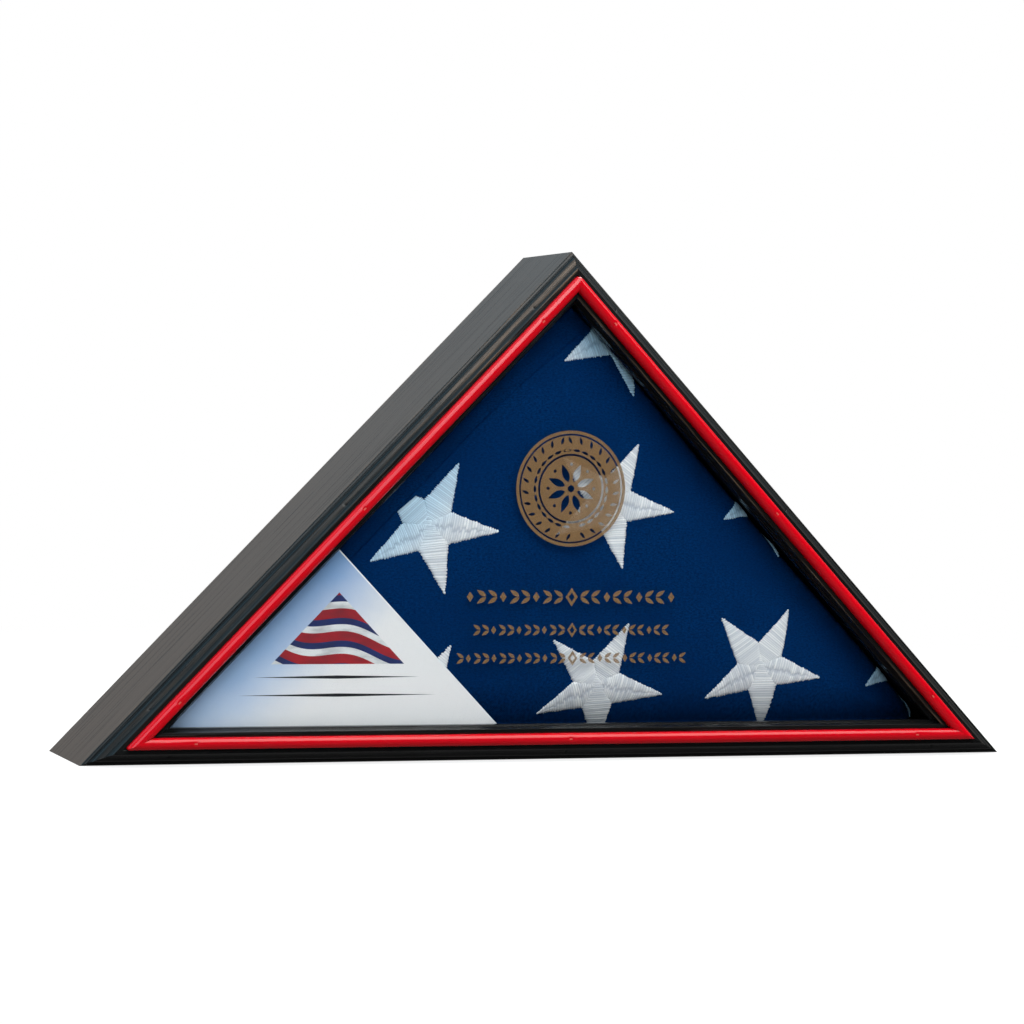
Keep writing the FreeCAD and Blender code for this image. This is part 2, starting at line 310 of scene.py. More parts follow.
def clear_glass():
    """A clear pane that mirrors faintly."""
    look = Look("clear_glass")
    smears = look.noise(14, 4, 0.6).ramp(0.3, 0.7, 0.02, 0.06)
    clear = look.node("BsdfTransparent", {"Color": (0.985, 0.99, 0.99)})
    shine = look.node("BsdfGlossy", {"Color": (0.5, 0.5, 0.5), "Roughness": smears})
    return look.blend(look.node("Fresnel", {"IOR": 1.1}), clear, shine)


def hardboard():
    """Pressed fibre board: brown, flecked and softly mottled."""
    look = Look("hardboard")
    fibres = look.noise((700, 700, 900), 4, 0.7)
    flecks = look.noise((240, 240, 420), 2).ramp(0.6, 0.72)
    mottle = look.noise((11, 11, 14), 4)
    base = mottle.mix((0.125, 0.068, 0.036), (0.2, 0.118, 0.064))
    base = (flecks * 0.6).mix(base, (0.3, 0.19, 0.105))
    return look.principled(
        base_color=(fibres * 0.5).mix(base, (0.09, 0.05, 0.027)),
        roughness=fibres.ramp(0.3, 0.7, 0.5, 0.72),
        normal=fibres.bump(0.12 * MM, 0.6),
    )


def metal(name, colour, roughness):
    """Plated steel with fine brushing and a cloudy plate."""
    look = Look(name)
    brushing = look.noise((2600, 260, 160), 3, 0.6)
    clouds = look.noise(130, 3)
    dull = tuple(0.72 * share for share in colour)
    return look.principled(
        base_color=clouds.mix(dull, colour),
        metallic=1,
        roughness=(brushing + clouds).ramp(0.7, 1.3, roughness, roughness + 0.2),
        normal=brushing.bump(0.03 * MM, 0.5),
    )


WARP_PITCH, WEFT_PITCH = mm(0.62, 0.7)
WEFT_TURN = 1.05


def navy_cloth():
    """Dyed cotton in a fine twill, with a soft nap."""
    look = Look("navy_cotton", "UV")
    slubs = look.noise((520, 900, 1), 3, 0.65)
    clouds = look.noise((16, 16, 1), 4, 0.55).ramp(0.3, 0.7, 0, 0.6)
    weave = look.wave(WARP_PITCH) * 0.4 + look.wave(WEFT_PITCH, WEFT_TURN) * 0.6
    threads = weave * 0.35 + slubs
    base = threads.ramp(0.48, 0.84).mix((0.0001, 0.0098, 0.045), (0.0002, 0.033, 0.134))
    return look.principled(
        base_color=clouds.mix(base, (0.0002, 0.0178, 0.08)),
        roughness=slubs.ramp(0.3, 0.7, 0.78, 0.95),
        normal=threads.bump(0.22 * MM, 0.6),
        specular_ior_level=0.02,
    )


def star_thread():
    """Off-white satin stitches, each with its own tone, and with shade painted into their grooves and creases."""
    look = Look("white_thread", "UV")
    fibres = look.noise((160, 2400, 1), 3, 0.6)
    tone_and_shade = look.attribute("tone_and_shade")
    # Low values are painted shade in the stitches' grooves and creases, on top of a random tone
    white = tone_and_shade.mix((0.4, 0.42, 0.49), (0.95, 0.925, 0.905))
    # Painted blue shade: a darker, bluer thread colour that stands for the frame's shade lit by bluish light
    shaded_blue = tone_and_shade.mix((0.21, 0.34, 0.48), (0.54, 0.8, 0.97))
    base = look.attribute("painted_blue_shade").mix(white, shaded_blue)
    return look.principled(
        base_color=(fibres.ramp(0.55, 0.75) * 0.3).mix(base, (0.42, 0.45, 0.52)),
        roughness=fibres.ramp(0.3, 0.7, 0.48, 0.66),
        normal=fibres.bump(0.12 * MM, 0.6),
        sheen_weight=0.1,
        sheen_roughness=0.4,
    )


def frosted_gilt():
    """A grainy brown gilt film that lets through what is behind."""
    look = Look("gilt_film")
    grain = look.noise(900, 3, 0.7)
    base = look.noise(60, 3).mix((0.205, 0.11, 0.04), (0.25, 0.138, 0.052))
    return look.principled(
        base_color=(grain * 0.35).mix(base, (0.3, 0.175, 0.07)),
        roughness=grain.ramp(0.3, 0.7, 0.5, 0.7),
        alpha=grain.ramp(0.2, 0.8, 0.54, 0.66),
        specular_ior_level=0.3,
    )


CARD_LEFT, CARD_RIGHT, CARD_FOOT, CARD_MARGIN = mm(-282.2, -42.2, 20.3, 1)
PICTURE_LEFT, PICTURE_RIGHT, PICTURE_FOOT = mm(-203.3, -111.9, 64.6)
# Each rule's middle, line, reach and half thickness
RULES = (mm(-158, 56, 56.7, 1.1), mm(-157.2, 44.1, 68, 1.1))
WAVE_TURNS, WAVE_HEIGHT, WAVE_LEAN, WAVE_PITCH = 95, 3.2 * MM, 0.18, 15 * MM


def printed_card():
    """Coated card: a sky that fades to white, a triangle of plain waves, and two tapered rules."""
    look = Look("printed_card")
    x, _, z = look.axes()

    def inwards(left, right, base):
        """Distances in from the sides of a triangle that leans as the case does."""
        lean = (z - base) / math.tan(BASE_ANGLE)
        sine = math.sin(BASE_ANGLE)
        return (x - left - lean) * sine, (right - x - lean) * sine, z - base

    sides = inwards(CARD_LEFT, CARD_RIGHT, CARD_FOOT)
    clouds = look.noise(18, 4, 0.6)
    sky = sides[2].ramp(0, 0.11).mix((0.36, 0.52, 0.76), (0.2, 0.37, 0.66))
    paper = (sides[0] + clouds * 0.03).ramp(0.016, 0.085).mix(sky, (0.89, 0.85, 0.835))

    picture = look.math("MINIMUM", *inwards(PICTURE_LEFT, PICTURE_RIGHT, PICTURE_FOOT))
    height = z - PICTURE_FOOT + look.math("SINE", x * WAVE_TURNS) * WAVE_HEIGHT + x * WAVE_LEAN
    band = look.math("FRACT", height / WAVE_PITCH)
    shade = look.noise((60, 60, 150), 3)
    bands = (band > 0.42).mix((0.42, 0.012, 0.02), (0.8, 0.79, 0.78))
    bands = (band > 0.72).mix(bands, (0.018, 0.03, 0.14))
    bands = shade.ramp(0.35, 0.75, 0, 0.45).mix(bands, (0.02, 0.02, 0.03))
    printed = (picture > 0).mix(paper, bands)

    for centre, line, reach, thick in RULES:
        half = (1 - look.math("ABSOLUTE", x - centre) / reach) * thick
        printed = (look.math("ABSOLUTE", z - line) < half).mix(printed, (0.012, 0.012, 0.014))

    edge = look.math("MINIMUM", *sides).ramp(CARD_MARGIN * 0.8, CARD_MARGIN)
    tooth = look.noise(1500, 2)
    return look.principled(
        base_color=edge.mix((0.88, 0.88, 0.88), printed),
        roughness=tooth.ramp(0.3, 0.7, 0.36, 0.5),
        normal=tooth.bump(0.02 * MM, 0.4),
    )


# Meshes

def add_object(name, data):
    made = bpy.data.objects.new(name, data)
    bpy.context.scene.collection.objects.link(made)
    return made


def new_mesh(name, vertices, faces):
    mesh = bpy.data.meshes.new(name)
    mesh.from_pydata([tuple(v) for v in vertices], [], [tuple(f) for f in faces])
    return mesh


def dress(mesh, material, node=None, sharp=None):
    """A piece of a mesh: outward faces, shading and material, with the CAD node it stands for hidden."""
    form = bmesh.new()
    form.from_mesh(mesh)
    bmesh.ops.recalc_face_normals(form, faces=form.faces)
    form.to_mesh(mesh)
    form.free()
    mesh.shade_smooth()
    if sharp is not None:
        mesh.set_sharp_from_angle(angle=math.radians(sharp))
    mesh.materials.clear()
    mesh.materials.append(material)
    piece = add_object(mesh.name, mesh)
    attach(piece, "case")
    if node:
        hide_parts(node)
    return piece


def set_attribute(mesh, name, values):
    attribute = mesh.attributes.new(name, "FLOAT", "POINT")
    attribute.data.foreach_set("value", np.asarray(values, np.float32).ravel())


def set_uv(mesh, of_vertex=None, of_corner=None):
    """Sets the UV map by vertex, or else by face corner."""
    if of_corner is None:
        corners = np.empty(len(mesh.loops), np.int32)
        mesh.loops.foreach_get("vertex_index", corners)
        of_corner = of_vertex[corners]
    layer = mesh.uv_layers.new(name="UVMap")
    layer.data.foreach_set("uv", np.asarray(of_corner, np.float32).ravel())


def walls(rings):
    """Quads between each closed ring of vertex numbers and the next."""
    return [
        (a, b, d, c)
        for near, far in zip(rings[:-1], rings[1:])
        for a, b, c, d in zip(near, np.roll(near, -1), far, np.roll(far, -1))
    ]


def closed_ring(first, count):
    """Edges round a ring of vertex numbers."""
    return [(first + i, first + (i + 1) % count) for i in range(count)]


def triangulated(points, edges):
    """Triangles over points in the plane, within closed rings of edges."""
    vectors = [Vector(p) for p in points]
    _, _, faces, origins, _, _ = geometry.delaunay_2d_cdt(vectors, edges, [], 1, 1e-7)
    return [[origins[i][0] for i in face] for face in faces]


def arc(start, end, bulge, steps):
    """Points after start on the arc that stands off the chord to the left by bulge."""
    start, end = np.array(start), np.array(end)
    chord = end - start
    length = np.hypot(*chord)
    left = np.array([-chord[1], chord[0]]) / length
    radius = (length * length / 4 + bulge * bulge) / (2 * abs(bulge))
    centre = (start + end) / 2 + left * (bulge - math.copysign(radius, bulge))
    sweep = turn_between(start - centre, end - centre)
    return list(centre + turned(start - centre, np.linspace(0, sweep, steps + 1)[1:]))


EASE_LIMIT, EASE_LEAST, EASE_STEPS = 0.45, math.radians(20), 3


def eased(outline, radius):
    """A closed outline with its corners rounded."""
    points = np.array(outline)
    made = []
    for before, here, after in zip(np.roll(points, 1, 0), points, np.roll(points, -1, 0)):
        arrive, leave = here - before, after - here
        turn = abs(turn_between(arrive, leave))
        if turn < EASE_LEAST:
            made.append(here)
            continue
        run_in, run_out = np.hypot(*arrive), np.hypot(*leave)
        reach = min(radius * math.tan(turn / 2), EASE_LIMIT * run_in, EASE_LIMIT * run_out)
        first, last = here - arrive / run_in * reach, here + leave / run_out * reach
        for t in np.linspace(0, 1, EASE_STEPS + 1):
            made.append((1 - t) ** 2 * first + 2 * t * (1 - t) * here + t * t * last)
    return np.array(made)


def densified(points, step):
    """Splits long runs of a closed outline into steps."""
    made = []
    for here, after in zip(points, np.roll(points, -1, 0)):
        parts = max(1, math.ceil(np.hypot(*(after - here)) / step))
        made += [here + (after - here) * part / parts for part in range(parts)]
    return np.array(made)


def edge_wear(points, edges):
    """How rubbed each point is, from each edge's place, share and spread."""
    wear = np.zeros(len(points))
    for inset, y, share, spread in edges:
        apart = np.hypot(points[:, 0] - inset, points[:, 1] - y)
        wear = np.maximum(wear, share * np.exp(-(apart / spread) ** 2))
    return wear


def lengths_along(points):
    """Length along a path up to each of its points."""
    return np.concatenate([[0], np.cumsum(np.hypot(*np.diff(points, axis=0).T))])


MITRE_HAIRLINE, MITRE_CREEP = mm(0.03, 0.5)
TIP_ROWS = 6
BAR_SHARES = np.linspace(0, 1, 36)
DENT_STEPS = np.linspace(-2.2, 2.2, 13)
BAR_SHARP = 32


def swept_rows(side, inset, shares, tips):
    """Runs and insets of a bar's rows, with its outer edge rounded at each tip by a radius."""
    ends = []
    for cot, radius in zip((side.start_cot, side.end_cot), tips):
        centre = inset.min() + radius
        rounded = inset < centre
        out = np.clip(centre - inset, 0, None)
        turns = np.linspace(math.atan(cot), 0, TIP_ROWS + 1)[:, None] if radius else np.zeros((1, 1))
        creep = np.linspace(0, MITRE_CREEP, len(turns))[:, None]
        runs = np.where(rounded, centre * cot - out * np.sin(turns), inset * cot + creep) + MITRE_HAIRLINE
        ends.append((runs, np.where(rounded, centre - out * np.cos(turns), inset)))
    (start_runs, start_insets), (end_runs, end_insets) = ends
    first, last = start_runs[-1], side.length - end_runs[-1]
    middle = first + shares[1:-1, None] * (last - first)
    runs = np.concatenate([start_runs, middle, side.length - end_runs[::-1]])
    insets = np.concatenate([start_insets, np.broadcast_to(inset, middle.shape), end_insets[::-1]])
    return runs, insets


def mitred_bar(name, side, outline, ease, step, material, slot, node,
               dents=(), edges=(), rub=(1.0, 1.0), tips=(0.0, 0.0)):
    """A closed bar of an outline in insets and y between a side's mitres, with dents at its nails."""
    points = densified(eased(outline, ease), step)
    inset, y = points.T
    shares = set(BAR_SHARES)
    for run, at, radius, _ in dents:
        first, last = side.mitres(at)
        shares.update((run + DENT_STEPS * radius - first) / (last - first))
    runs, insets = swept_rows(side, inset, np.array(sorted(shares)), tips)
    deep = np.broadcast_to(y, runs.shape).copy()
    for run, at, radius, depth in dents:
        away = (runs - run) ** 2 + (insets - at) ** 2
        deep += depth * np.exp(-away / radius ** 2) * (y < FRONT)

    count = len(points)
    rings = np.arange(runs.size).reshape(runs.shape)
    quads = np.array(walls(rings))
    mesh = new_mesh(name, side.points(runs, insets, deep).reshape(-1, 3), [*quads, rings[0], rings[-1]])
    rubbed = rub[0] + (rub[1] - rub[0]) * smooth_step(runs / side.length / 0.5)
    set_attribute(mesh, "wear", rubbed * edge_wear(points, edges))
    around = quads % count
    around[:, 1:3][around[:, 1:3] == 0] = count
    lengths = lengths_along(np.concatenate([points, points[:1]]))
    sides_uv = np.stack([runs.ravel()[quads], lengths[around]], -1)
    ends_uv = np.stack([insets[[0, -1]], deep[[0, -1]]], -1)
    set_uv(mesh, of_corner=np.concatenate([sides_uv.reshape(-1, 2), ends_uv.reshape(-1, 2)]))
    return dress(mesh, material, node, BAR_SHARP)


def forwards(outline):
    return [(inset, FRONT - rise) for inset, rise in outline]


BOARD_EDGES = [(0.0, FRONT, 0.6, 0.9 * MM), (BACK_EDGE_EASE, BACK, 0.5, 1.2 * MM)]
RUBBED_FACE = [
    (0.0, FRONT - 0.6 * MM, 0.9, 1.0 * MM),
    (4.8 * MM, FRONT - 7.8 * MM, 1.0, 1.7 * MM),
    (FACE_INSET, FRONT - PROJECTION, 0.8, 0.8 * MM),
]
# A lighter brown line along the lip's front edge: part wear, part painted highlight
LIP_WEAR_AND_HIGHLIGHT = [(LIP_INSET, FRONT - PROJECTION, 0.7, 0.7 * MM)]
BEAD_CLEARANCE = 0.04 * MM


def board_outline():
    return [
        (0.0, FRONT),
        (BOARD, FRONT),
        (BOARD, RABBET_Y),
        (RABBET_INSET, RABBET_Y),
        (RABBET_INSET, BACK),
        (BACK_EDGE_EASE, BACK),
        *arc((BACK_EDGE_EASE, BACK), (0.0, BACK - BACK_EDGE_EASE), BACK_EDGE_EASE * (math.sqrt(0.5) - 1), 5),
    ]


def moulding_outline():
    outer, inner = BEAD_CENTRE - BEAD_WIDTH / 2, BEAD_CENTRE + BEAD_WIDTH / 2
    edge_round, quirk, ridge = mm(2.3, 1.9), mm(2.9, 3.4), mm(4.3, 6.9)
    face, lip = (FACE_INSET, PROJECTION), (LIP_INSET, PROJECTION)
    return forwards([
        (0.0, 0.0),
        *arc((0.0, 0.0), edge_round, 0.6 * MM, 5),
        quirk,
        *arc(quirk, ridge, 0.55 * MM, 5),
        *arc(ridge, face, -0.5 * MM, 6),
        (outer, PROJECTION),
        (outer, BEAD_SEAT),
        (inner, BEAD_SEAT),
        (inner, PROJECTION),
        lip,
        *arc(lip, (MOULDING_WIDTH, 6.7 * MM), -0.4 * MM, 5),
        (MOULDING_WIDTH, 0.0),
    ])


def bead_outline():
    half = BEAD_WIDTH / 2 - BEAD_CLEARANCE
    outer, inner = BEAD_CENTRE - half, BEAD_CENTRE + half
    return forwards([
        (outer, BEAD_SEAT),
        (outer, BEAD_SHOULDER),
        *arc((outer, BEAD_SHOULDER), (inner, BEAD_SHOULDER), BEAD_BULGE, 20),
        (inner, BEAD_SEAT),
    ])


# The folded flag

FOLD_RADIUS, TIP_RADIUS = mm(6, 2)
FLAG_INSETS = {"bottom": 16.3 * MM, "left": 18.0 * MM, "right": 19.0 * MM}
FLAT_INSETS = {name: inset + FOLD_RADIUS for name, inset in FLAG_INSETS.items()}
CORE = offset_triangle(*[inset + TIP_RADIUS for inset in FLAT_INSETS.values()])
CLOTH_FRONT, CLOTH_BACK = mm(-45.0, 28.4)
SAG, SAG_REACH = mm(3, 45)
CROWN, BACK_CROWN, CROWN_RUN = mm(3, 1.6, 60)
# Each side's roll: its drop where the side's run starts and ends, and its reach inwards
ROLLS = {
    "bottom": mm(11, 11, 32),
    "left": mm(1.5, 1.5, 22),
    "right": mm(8, 3, 40),
}
ROLL_FADE = 45 * MM
CORNER_SINK, CORNER_RUN = mm(12, 110)
LAYER, LAYER_ROUND = mm(1.1, 1.2)
LAYER_INSET, LAYER_BOW = mm(37.6, 9)
LAYER_BOW_FROM, LAYER_BOW_RUN = mm(145, 118)
TUCK_INSET, TUCK_ROUND = mm(52, 1.4)


def nearest_on_core(flat):
    """The core triangle's point nearest to each point, and the distance to it."""
    best = np.full(len(flat), np.inf)
    near = np.zeros_like(flat)
    inside = np.ones(len(flat), bool)
    for start, end in zip(CORE, np.roll(CORE, -1, 0)):
        span = end - start
        share = np.clip(((flat - start) @ span) / (span @ span), 0, 1)
        point = start + share[:, None] * span
        apart = np.hypot(*(flat - point).T)
        near = np.where((apart < best)[:, None], point, near)
        best = np.minimum(apart, best)
        inside &= span[0] * (flat[:, 1] - start[1]) - span[1] * (flat[:, 0] - start[0]) >= 0
    return np.where(inside[:, None], flat, near), np.where(inside, 0.0, best)


RIPPLE_DRAWS = np.random.default_rng(11)
RIPPLES = [
    (RIPPLE_DRAWS.uniform(40, 150) * MM, RIPPLE_DRAWS.uniform(0, math.pi), RIPPLE_DRAWS.uniform(0, 2 * math.pi))
    for _ in range(14)
]
RIPPLE_HEIGHT, BACK_RIPPLE = 0.07 * MM, 0.6


def ripple(flat):
    """Soft unevenness of the cloth, always inwards."""
    total = np.zeros(len(flat))
    for length, heading, phase in RIPPLES:
        along = flat @ np.array([math.cos(heading), math.sin(heading)])
        total += 1 + np.sin(along * 2 * math.pi / length + phase)
    return total * RIPPLE_HEIGHT


def past_layer_edge(flat):
    """Distance onto the front layer from its folded edge, which bows near the apex."""
    left = SIDES["left"]
    bow = np.clip((LAYER_BOW_FROM - left.run_of(flat)) / LAYER_BOW_RUN, 0, None)
    return left.inset_of(flat) - (LAYER_INSET + LAYER_BOW * bow ** 2)


def sagged(points):
    """Points of the bundle with its right fold sagging inwards midway."""
    right = SIDES["right"]
    flat = points[:, [0, 2]]
    share = np.clip(right.run_of(flat) / right.length, 0, 1)
    near = 1 - smooth_step((right.inset_of(flat) - FLAG_INSETS["right"]) / SAG_REACH)
    return points + upright(np.outer(SAG * np.sin(math.pi * share) ** 2 * near, right.inward), 0.0)


def fullness(flat):
    """From 0 at the bundle's folds to 1 well within them."""
    full = np.ones(len(flat))
    for name, inset in FLAT_INSETS.items():
        full *= smooth_step((SIDES[name].inset_of(flat) - inset) / CROWN_RUN)
    return full


def front_relief(flat):
    """Depth of the cloth behind its foremost plane, before the folds."""
    past = np.clip(past_layer_edge(flat) / LAYER_ROUND, 0, 1)
    raised = np.sqrt(1 - (1 - past) ** 2)
    rolled = np.zeros(len(flat))
    for name, (first, last, reach) in ROLLS.items():
        side = SIDES[name]
        drop = first + (last - first) * np.clip(side.run_of(flat) / side.length, 0, 1)
        near = np.clip(1 - (side.inset_of(flat) - FLAT_INSETS[name]) / reach, 0, 1)
        rolled = np.maximum(rolled, drop * near ** 2)
    sunk = CORNER_SINK * np.clip(1 - np.hypot(*(flat - CORE[1]).T) / CORNER_RUN, 0, 1) ** 2
    return CROWN * (1 - fullness(flat)) + ripple(flat) + LAYER * (1 - raised) + rolled + sunk


def down_the_fold(start, depth):
    """Depth down the folded sides, of a place that starts behind the front."""
    return depth + start * (1 - smooth_step(depth / ROLL_FADE))


def cloth(flat):
    """Where points of the flat cloth lie on the bundle, and the way it faces there."""
    near, away = nearest_on_core(flat)
    outward = (flat - near) / np.maximum(away, 1e-9)[:, None]
    over = np.clip(away - TIP_RADIUS, 0, None)
    turn = np.minimum(over / FOLD_RADIUS, math.pi / 2)
    to_rim = np.minimum(away, TIP_RADIUS)
    start = front_relief(near + outward * to_rim[:, None])
    past_turn = np.clip(over - FOLD_RADIUS * math.pi / 2, 0, None)
    deep = down_the_fold(start, FOLD_RADIUS * (1 - np.cos(turn)) + past_turn)
    place = near + outward * (to_rim + FOLD_RADIUS * np.sin(turn))[:, None]
    facing = upright(outward * np.sin(turn)[:, None], -np.cos(turn))
    return sagged(upright(place, CLOTH_FRONT + deep)), facing


GRID = 4 * MM
CORNER_STEPS = 10
EDGE_STEP, EDGE_CLEAR, RIM_CLEAR = mm(3, 2.2, 1.5)
EDGE_OFFSETS = np.array([-1.2, -0.25, 0.0, 0.06, 0.22, 0.5, 0.85, 1.2, 2.4]) * MM
FOLD_LAYERS, LAYER_STEPS = 6, 8
FIRST_LAYER, LAYER_NIP, LAYER_SWELL = 18 * MM, 2.4 * MM, 0.55
BACK_FOLD = 0.6 * FOLD_RADIUS


def core_ring():
    """Points round the core with their outward directions."""
    places, ways = [], []
    ends = np.roll(CORE, -1, 0)
    spans = ends - CORE
    lengths = np.hypot(*spans.T)
    outwards = np.stack([spans[:, 1], -spans[:, 0]], 1) / lengths[:, None]
    for index in range(3):
        outward = outwards[index]
        shares = np.linspace(0, 1, int(lengths[index] / GRID) + 1)
        places += [CORE[index] + share * spans[index] for share in shares]
        ways += [outward] * len(shares)
        sweep = turn_between(outward, outwards[(index + 1) % 3])
        places += [ends[index]] * (CORNER_STEPS - 1)
        ways += list(turned(outward, np.linspace(0, sweep, CORNER_STEPS + 1)[1:-1]))
    return np.array(places), np.array(ways)


def inner_points():
    """Points of the bundle's face: a grid, and closer rows along the layer's edge."""
    grid = np.meshgrid(np.arange(-HALF_WIDTH, HALF_WIDTH, GRID), np.arange(0, HEIGHT, GRID))
    inner = np.stack(grid, -1).reshape(-1, 2)
    inner = inner[np.abs(past_layer_edge(inner) - LAYER_ROUND / 2) > EDGE_CLEAR]
    left = SIDES["left"]
    edge = left.start + np.outer(np.arange(0.0, left.length, EDGE_STEP), left.along) + LAYER_INSET * left.inward
    rows = [edge + np.outer(offset - past_layer_edge(edge), left.inward) for offset in EDGE_OFFSETS]
    inner = np.concatenate([inner, *rows])
    return inner[nearest_on_core(inner)[1] < TIP_RADIUS - RIM_CLEAR]


def side_profile():
    """Steps of reach and depth over the front fold, the stacked layers and the back fold."""
    depth = CLOTH_BACK - CLOTH_FRONT
    steps = []
    for turn in np.linspace(0, math.pi / 2, 9)[1:]:
        steps.append((TIP_RADIUS + FOLD_RADIUS * math.sin(turn), FOLD_RADIUS * (1 - math.cos(turn))))
    start, end = FIRST_LAYER, depth - BACK_FOLD
    for deep in np.linspace(start, end, FOLD_LAYERS * LAYER_STEPS + 1):
        swell = abs(math.sin((deep - start) / (end - start) * math.pi * FOLD_LAYERS)) ** LAYER_SWELL
        steps.append((TIP_RADIUS + FOLD_RADIUS - LAYER_NIP * (1 - swell), deep))
    for turn in np.linspace(math.pi / 2, 0, 8)[1:]:
        steps.append((TIP_RADIUS + FOLD_RADIUS * math.sin(turn), depth - BACK_FOLD * (1 - math.cos(turn))))
    return steps


def folded_flag(material):
    """The bundle: its front, its sides of stacked layers, and its back with a tucked edge."""
    places, ways = core_ring()
    count = len(places)
    inner = inner_points()
    front = np.concatenate([places + ways * TIP_RADIUS, inner])
    triangles = triangulated(front, closed_ring(0, count))
    layers = [cloth(front)[0]]
    start = layers[0][:count, 1] - CLOTH_FRONT
    profile = side_profile()
    for reach, deep in profile:
        layers.append(sagged(upright(places + ways * reach, CLOTH_FRONT + down_the_fold(start, deep))))
    tuck = smooth_step((SIDES["right"].inset_of(inner) - TUCK_INSET) / TUCK_ROUND)
    back_y = CLOTH_BACK - BACK_CROWN * (1 - fullness(inner)) - ripple(inner) * BACK_RIPPLE - LAYER * tuck
    layers.append(sagged(upright(inner, back_y)))
    vertices = np.concatenate(layers)

    rows = len(front) + np.arange(len(profile) * count).reshape(-1, count)
    back = np.concatenate([rows[-1], np.arange(rows.max() + 1, len(vertices))])
    sides = walls([np.arange(count), *rows])
    mesh = new_mesh("folded_flag_cloth", vertices, [*triangles, *sides, *back[np.array(triangles)]])
    set_uv(mesh, np.stack([vertices[:, 0], vertices[:, 2] + vertices[:, 1]], 1))
    flag = dress(mesh, material, "folded_flag", sharp=55)


# The embroidered stars: centre, and each arm's heading and reach, in millimetres and degrees of the flat cloth

STARS = (
    ((-93.9, 156.5), (138.5, 47.9), (65.5, 46.9), (-4.2, 48.5), (-77.5, 47.5), (-149.9, 48.8)),
    ((34.3, 172.9), (139.0, 47.7), (63.7, 46.1), (-6.6, 47.3), (-78.5, 46.1), (-151.5, 46.2)),
    ((28.4, 49.1), (137.6, 46.4), (63.9, 47.4), (-8.2, 48.6), (-80.5, 47.0), (-154.7, 46.6)),
    ((149.2, 60.8), (132.9, 47.2), (62.7, 46.4), (-9.6, 46.0), (-81.5, 46.6), (-152.0, 46.9)),
    ((42.9, 291.2), (136.7, 47.0), (64.7, 47.0), (-7.3, 47.0), (-78.4, 46.2), (-153.0, 49.8)),
    ((162.2, 185.5), (135.7, 47.0), (63.7, 47.0), (-8.3, 47.0), (-86.0, 47.5), (-152.3, 47.0)),
    ((275.0, 68.0), (134.7, 47.0), (62.7, 47.0), (-9.3, 47.0), (-87.0, 46.0), (-153.3, 47.0)),
    ((-98.7, 34.9), (136.2, 47.0), (64.2, 47.0), (-7.8, 47.0), (-79.8, 47.0), (-151.8, 47.0)),
)
LAYER_STAR, LAYER_STAR_STOP = 1, 0.3 * MM
ARM_ORDER, CREASED_ARMS = (1, 0, 4, 2, 3), (2, 4)
INNER_SHARE, ROOT_SHARE, ROOT_STEP = 0.372, 0.02, 0.045
HEART_SHIFT = np.array([-1.2, -0.3]) * MM
STITCH, STITCH_DEPTH = mm(1.5, 0.26)
STITCH_ROUND = (0.0, 0.75, 1.0, 0.75)
STITCH_ROWS = len(STITCH_ROUND)
STITCHED_FROM, STITCHED_RUN = 0.012, 0.973
RAGGED_OUT, RAGGED_IN = mm(0.9, 0.3)
THREAD_HEIGHT, FULL_WIDTH = mm(0.75, 9)
ARM_LIFT, UNEVEN = mm(0.10, 0.06)
LEAST_HEIGHT, UNDER_HEIGHT = mm(0.02, -0.25)
ROW_STEPS = 14
THREAD_RUN, ARM_ROWS = 20 * MM, 200
# Painted blue shade on the thread: the insets from a side over which it fades, and its strongest share
BLUE_SHADE_INSETS, BLUE_SHADE_SHARE = mm(44, 80), 0.8
RIGHT_EDGE, RIGHT_BLUE_SHADE_INSETS = 20 * MM, mm(22, 62)
WRAP_LIMIT = 30 * MM
STITCHED_REACH, STITCH_SPREAD, SLANT_SPREAD = 1.1, (0.6, 1.4), (0.12, 0.20)
LEAST_WIDTH, WIDTH_POWER = 0.35, 0.6
ROOT_HEIGHT, ROOT_RUN = 0.55, 0.10
ACROSS_POWER, ROUND_POWER = 2.6, 0.55
# GROOVE_SHADE darkens the grooves between stitches and CREASE_SHADE the creases: painted shade
TONE_SPREAD, GROOVE_SHADE = (0.5, 1.0), 0.4
CREASE_WANDER, CREASE_WIDTH, CREASE_DEPTH, CREASE_SHADE = 0.16, 0.13, 0.45, 0.75
CREASE_TIP, CREASE_ROOT = 0.3, 0.25


def along_path(path, shares):
    """Points at shares of a path's length."""
    path = np.array(path)
    at = lengths_along(path)
    return np.stack([np.interp(shares, at / at[-1], line) for line in path.T], 1)


